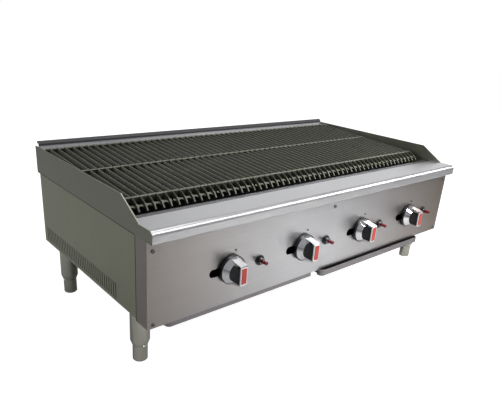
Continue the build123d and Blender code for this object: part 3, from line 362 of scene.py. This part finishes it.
# ---------------------------------------------------------------- cast grates
def circle_through(a, b, c):
    """Centre and radius of the circle through three points of a plane."""
    (ax, ay), (bx, by), (cx, cy) = a, b, c
    d = 2 * (ax * (by - cy) + bx * (cy - ay) + cx * (ay - by))
    sa, sb, sc = ax * ax + ay * ay, bx * bx + by * by, cx * cx + cy * cy
    x = (sa * (by - cy) + sb * (cy - ay) + sc * (ay - by)) / d
    y = (sa * (cx - bx) + sb * (ax - cx) + sc * (bx - ax)) / d
    return x, y, math.hypot(ax - x, ay - y)


def bar_section(ridge, foot, height, bulge):
    """Half of a bar's section from its crown to its foot, as (across, down) pairs."""
    return [(ridge * 0.55, 0.0), (ridge, 0.6 * MM), (ridge + (foot - ridge) * bulge, height * 0.5),
            (foot, height - 0.9 * MM), (foot - 0.7 * MM, height)]


def section_at(step):
    """The section of a finger, from 0 at the front rib to 1 at its tip."""
    height = (18.0 - 11.4 * step) * MM
    foot = (7.5 - 4.6 * min(1.0, step / 0.12) - 0.6 * step) * MM
    return bar_section((1.7 + 0.4 * step) * MM, foot, height, 0.5)


def make_piece(bm, name, materials):
    """An object from a finished mesh, with its materials in order."""
    bmesh.ops.recalc_face_normals(bm, faces=bm.faces)
    mesh = bpy.data.meshes.new(name)
    bm.to_mesh(mesh)
    bm.free()
    piece = bpy.data.objects.new(name, mesh)
    scene.collection.objects.link(piece)
    for material in materials:
        mesh.materials.append(material)
    return piece


def finger_web(bm, place, left, right, parts):
    """The flared web that ties two fingers together, open to the fire below it."""
    rows = []
    for part in parts:
        across = left + (right - left) * part
        flare = abs(2 * part - 1) ** 2.4
        if part < 0.5:
            top = ((22.5 - 5.0 * flare) * MM, (-12.0 + 4.0 * flare) * MM)
            foot = ((26.0 + 12.5 * flare) * MM, (-15.5 - 7.0 * flare) * MM)
        else:
            top = ((22.5 + 2.0 * flare) * MM, (-12.0 - 1.5 * flare) * MM)
            foot = ((26.0 + 4.0 * flare) * MM, (-15.5 - 2.5 * flare) * MM)
        rows.append([place(across, *top), place(across, *foot),
                     place(across, foot[0] - WEB_THICKNESS, foot[1] - 2 * MM),
                     place(across, top[0] - WEB_THICKNESS, top[1] - 4 * MM)])
    loops = [[bm.verts.new(point) for point in row] for row in rows]
    for near, far in zip(loops, loops[1:]):
        for i in range(4):
            j = (i + 1) % 4
            face = bm.faces.new((near[i], near[j], far[j], far[i]))
            # the web's top takes wear and painted highlight
            face.material_index = WEAR_AND_HIGHLIGHT_SLOT if i == 0 else IRON_SLOT
    bm.faces.new(list(reversed(loops[0])))
    bm.faces.new(loops[-1])


def sweep_bar(bm, place, length, offset):
    """One bar with its curved finger: closed loops of vertices, skinned from tip to back."""
    x, y, radius = circle_through(*NOSE)
    first = math.atan2(NOSE[2][1] - y, NOSE[2][0] - x)
    last = math.atan2(NOSE[0][1] - y, NOSE[0][0] - x)
    stations = []
    for i in range(FINGER_STEPS + 1):
        step = 1 - i / FINGER_STEPS
        angle = last + (first - last) * step
        point = (x + radius * math.cos(angle), y + radius * math.sin(angle))
        stations.append((point, (math.cos(angle), math.sin(angle)), section_at(step)))
    for along in (BAR_START, length):
        stations.append(((-along, 0.0), (0.0, 1.0),
                         bar_section(BAR_RIDGE, BAR_FOOT, BAR_HEIGHT, BAR_BULGE)))
    loops = []
    for (ahead, up), (out_ahead, out_up), half in stations:
        loop = []
        for across, down in half + [(-a, d) for a, d in reversed(half)]:
            loop.append(bm.verts.new(place(offset + across, ahead - out_ahead * down,
                                           up - out_up * down)))
        loops.append(loop)
    around = len(loops[0])
    for station, (near, far) in enumerate(zip(loops, loops[1:])):
        # painted highlight: the crowns take the lighter iron, brightest near the tip
        crown = WEAR_AND_HIGHLIGHT_SLOT if station < WEAR_AND_HIGHLIGHT_STEPS else IRON_SLOT if station < FINGER_STEPS else RIDGE_SLOT
        for i in range(around):
            j = (i + 1) % around
            face = bm.faces.new((near[i], near[j], far[j], far[i]))
            face.material_index = crown if i in (0, around - 2, around - 1) else IRON_SLOT
    bm.faces.new(list(reversed(loops[0])))
    bm.faces.new(loops[-1])


def cross_rib(bm, place, low_x, high_x, ahead, up):
    """A rib across the bars with softened top edges."""
    half, chamfer = RIB_WIDTH / 2, RIB_CHAMFER
    outline = [(-half, -chamfer), (-half + chamfer, 0.0), (half - chamfer, 0.0), (half, -chamfer),
               (half, -RIB_HEIGHT), (-half, -RIB_HEIGHT)]
    ends = [[bm.verts.new(place(x, ahead + a, up + u)) for a, u in outline] for x in (low_x, high_x)]
    for i in range(len(outline)):
        j = (i + 1) % len(outline)
        face = bm.faces.new((ends[0][i], ends[0][j], ends[1][j], ends[1][i]))
        # the rib's top and chamfers take wear and painted highlight
        face.material_index = WEAR_AND_HIGHLIGHT_SLOT if i in (0, 1, 2) else IRON_SLOT
    bm.faces.new(ends[0])
    bm.faces.new(list(reversed(ends[1])))


def cast_grate(name):
    """The detailed casting that stands for a grate node: ridged bars, ribs and curved fingers."""
    low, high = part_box(name)
    middle = (low.x + high.x) / 2
    half = (high.x - low.x) / 2
    back = high.y - BAR_HEIGHT * math.sin(SLOPE)
    length = (back - FRONT_RIB) / math.cos(SLOPE)
    top = high.z - length * math.sin(SLOPE)
    run, rise = math.cos(SLOPE), math.sin(SLOPE)

    def place(across, ahead, up):
        return (middle + across, FRONT_RIB - ahead * run - up * rise, top - ahead * rise + up * run)

    bm = bmesh.new()
    for offset in BARS:
        sweep_bar(bm, place, length, offset)
    rear_rib = length - REAR_RIB_INSET
    for along, drop in zip((0.0, rear_rib / 2 + MIDDLE_RIB_SHIFT, rear_rib), RIB_DROPS):
        cross_rib(bm, place, -half, half, -along, -drop)
    whole = [i / WEB_STEPS for i in range(WEB_STEPS + 1)]
    for left in [BARS[0] - BAR_PITCH, *BARS]:
        parts = whole
        if left < BARS[0]:
            parts = [part for part in whole if part > 0.5]
        elif left == BARS[-1]:
            parts = [part for part in whole if part < 0.5]
        finger_web(bm, place, left + WEB_MARGIN, left + BAR_PITCH - WEB_MARGIN, parts)
    piece = make_piece(bm, f"casting_{name}", (IRON, RIDGE, WEAR_AND_HIGHLIGHT))
    soften(piece, CAST_EDGE)
    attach(piece, name)
    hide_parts(name)


def screw_recess_shade():
    """Painted shade: a black cross on the head of each panel screw stands for its shaded cross recess."""
    middle = (panel_low.x + panel_high.x) / 2
    ends = (panel_low.x + SCREW_INSET, panel_high.x - SCREW_INSET)
    upper, lower = panel_high.z - SCREW_DROP, panel_low.z + SCREW_RISE
    places = [(x, z) for x in ends for z in (upper, lower)]
    places.append((middle, upper))
    arm, half, front, back = RECESS_ARM, RECESS_HALF, FACE - RECESS_FRONT, FACE - RECESS_BACK
    outline = [(half, arm), (half, half), (arm, half), (arm, -half), (half, -half), (half, -arm),
               (-half, -arm), (-half, -half), (-arm, -half), (-arm, half), (-half, half),
               (-half, arm)]
    bm = bmesh.new()
    for x, z in places:
        near = [bm.verts.new((x + a, front, z + b)) for a, b in outline]
        far = [bm.verts.new((x + a, back, z + b)) for a, b in outline]
        bm.faces.new(near)
        bm.faces.new(list(reversed(far)))
        for i in range(len(outline)):
            j = (i + 1) % len(outline)
            bm.faces.new((near[j], near[i], far[i], far[j]))
    piece = make_piece(bm, "screw_recess_shade", (BLACK,))
    soften(piece, RECESS_EDGE)
    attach(piece, "body")


def strip(bm, low, high):
    """A thin flat-faced bead between two corners, with its outer edges drawn in."""
    inset = [min(SEAM_INSET, (b - a) / 4) for a, b in zip(low, high)]
    corners = []
    for x in (0, 1):
        for y in (0, 1):
            for z in (0, 1):
                pick = (x, y, z)
                corners.append(bm.verts.new([
                    (high[i] - inset[i] * (i > 0) if pick[i] else low[i] + inset[i] * (i > 0))
                    for i in range(3)]))
    for loop in ((0, 1, 3, 2), (4, 6, 7, 5), (0, 4, 5, 1), (2, 3, 7, 6), (0, 2, 6, 4), (1, 5, 7, 3)):
        bm.faces.new([corners[i] for i in loop])


def side_seam_shadows():
    """Painted shadow: thin dark strips in the gaps where a side wall meets the guard above it and the
    panel's folded end.
    """
    bm = bmesh.new()
    fold_back = FACE + FOLD_DEPTH
    for side in (-1, 1):
        guard_low, guard_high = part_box("left_splash_guard" if side < 0 else "right_splash_guard")
        fold = panel_low.x if side < 0 else panel_high.x
        guard = guard_low.x if side < 0 else guard_high.x
        for face, low, high in (
                (fold, (fold_back + FOLD_SEAM[0], panel_low.z), (fold_back + FOLD_SEAM[1], panel_high.z)),
                (guard, (fold_back, panel_high.z), (guard_high.y, panel_high.z + GUARD_SEAM))):
            near, far = sorted((face + side * SEAM_PROUD, face - side * SEAM_SUNK))
            strip(bm, (near, *low), (far, *high))
    piece = make_piece(bm, "side_seam_shadows", (SEAM,))
    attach(piece, "body")


def soften(piece, width):
    """Rounds the sharp edges of a piece and smooths what is left."""
    bevel = piece.modifiers.new("edges", "BEVEL")
    bevel.width = width
    bevel.segments = 2
    bevel.limit_method = "ANGLE"
    bevel.angle_limit = SHARP_ANGLE
    for face in piece.data.polygons:
        face.use_smooth = True


def paint_nodes():
    """Every CAD node that shows gets its finish."""
    for name, material in FINISH.items():
        mesh = nodes[name].data
        mesh.materials.clear()
        mesh.materials.append(material)


add_camera()
add_studio()

# The panel's ends get painted shade and a warm painted reflection.
STEEL_FRONT = brushed("steel_front", (0.66, 0.65, 0.64), 0, roughness=0.34, ends=0.46)
STEEL_SIDE = brushed("steel_side", (0.46, 0.47, 0.36), 2, roughness=0.42)
STEEL_BACK = brushed("steel_back", (0.62, 0.62, 0.58), 0, roughness=0.42)
STEEL_TOP = brushed("steel_top", (0.75, 0.745, 0.75), 0, roughness=0.36)
STEEL_TROUGH = brushed("steel_trough", (0.42, 0.42, 0.43), 0, roughness=0.5)
SPLASH_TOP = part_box("rear_splash")[1].z
# The rear splash gets a painted shade band under its top.
STEEL_SPLASH = brushed("steel_splash", (0.88, 0.88, 0.90), 0, roughness=0.5, metallic=0.1,
                       painted_shade_above=(SPLASH_TOP - SPLASH_SHADE, 0.10))
STEEL_GUARD = brushed("steel_guard", (0.36, 0.37, 0.30), 1, roughness=0.42)
STEEL_BOX = brushed("steel_box", (0.05, 0.05, 0.048), 0, roughness=0.6)
STEEL_TRAY = brushed("steel_tray", (0.34, 0.32, 0.33), 0, roughness=0.42)
STEEL_LEG = brushed("steel_leg", (0.62, 0.61, 0.53), 2, roughness=0.17)
IRON = cast_iron("grate_iron", (0.058, 0.060, 0.040), 0.0, 0.5)
# Lighter copies of the iron for the crowns: painted highlight, the brightest partly wear.
RIDGE = cast_iron("grate_ridge_highlight", (0.19, 0.195, 0.15), 0.0, 0.55)
WEAR_AND_HIGHLIGHT = cast_iron("grate_wear_and_highlight", (0.25, 0.25, 0.20), 0.0, 0.5)
CHROME = moulded("knob_chrome", (0.86, 0.86, 0.87), 0.06, metallic=1.0)
DARK_PLATED = moulded("dark_plated", (0.20, 0.20, 0.21), 0.25, metallic=1.0)
BLACK = moulded("black_plastic", (0.009, 0.009, 0.010), 0.34)
RED = moulded("red_plastic", (0.56, 0.05, 0.035), 0.33)
DEEP_RED = moulded("button_plastic", (0.20, 0.008, 0.014), 0.2)
# black for the painted shadow strips along the seams
SEAM = moulded("seam_shadow", (0.012, 0.012, 0.010), 0.8)
PIPE = moulded("gas_pipe_paint", (0.03, 0.03, 0.03), 0.5)
BRASS = moulded("brass", (0.60, 0.44, 0.18), 0.3, metallic=1.0)

FINISH = {
    "control_panel": STEEL_FRONT,
    "left_side_panel": STEEL_SIDE, "right_side_panel": STEEL_SIDE, "back_panel": STEEL_BACK,
    "base_frame": STEEL_SIDE, "tray_runners": STEEL_SIDE,
    "front_ledge": STEEL_TOP, "rear_splash": STEEL_SPLASH,
    "left_splash_guard": STEEL_GUARD, "right_splash_guard": STEEL_GUARD,
    "firebox_liner": STEEL_BOX, "grease_trough": STEEL_TROUGH, "grate_rests": STEEL_BOX,
    "radiants": STEEL_BOX, "pilot_burners": STEEL_BOX,
    "gas_manifold": PIPE, "gas_valves": BRASS,
    "igniter_bezels": BLACK, "igniter_bodies": DARK_PLATED, "fasteners": DARK_PLATED,
    "drip_tray_left": STEEL_TRAY, "drip_tray_right": STEEL_TRAY,
    "leg_tubes": STEEL_LEG,
}
for number in KNOBS:
    FINISH[f"burner_{number}"] = STEEL_BOX
    FINISH[f"valve_stem_{number}"] = BRASS
    FINISH[f"knob_core_{number}"] = BLACK
    FINISH[f"knob_trim_{number}"] = CHROME
    FINISH[f"knob_marker_{number}"] = RED
    FINISH[f"igniter_button_{number}"] = DEEP_RED
for name in nodes:
    if name.startswith("foot_"):
        FINISH[name] = STEEL_LEG
for name in GRATES:
    FINISH[name] = IRON
paint_nodes()
for name in GRATES:
    cast_grate(name)
screw_recess_shade()
side_seam_shadows()
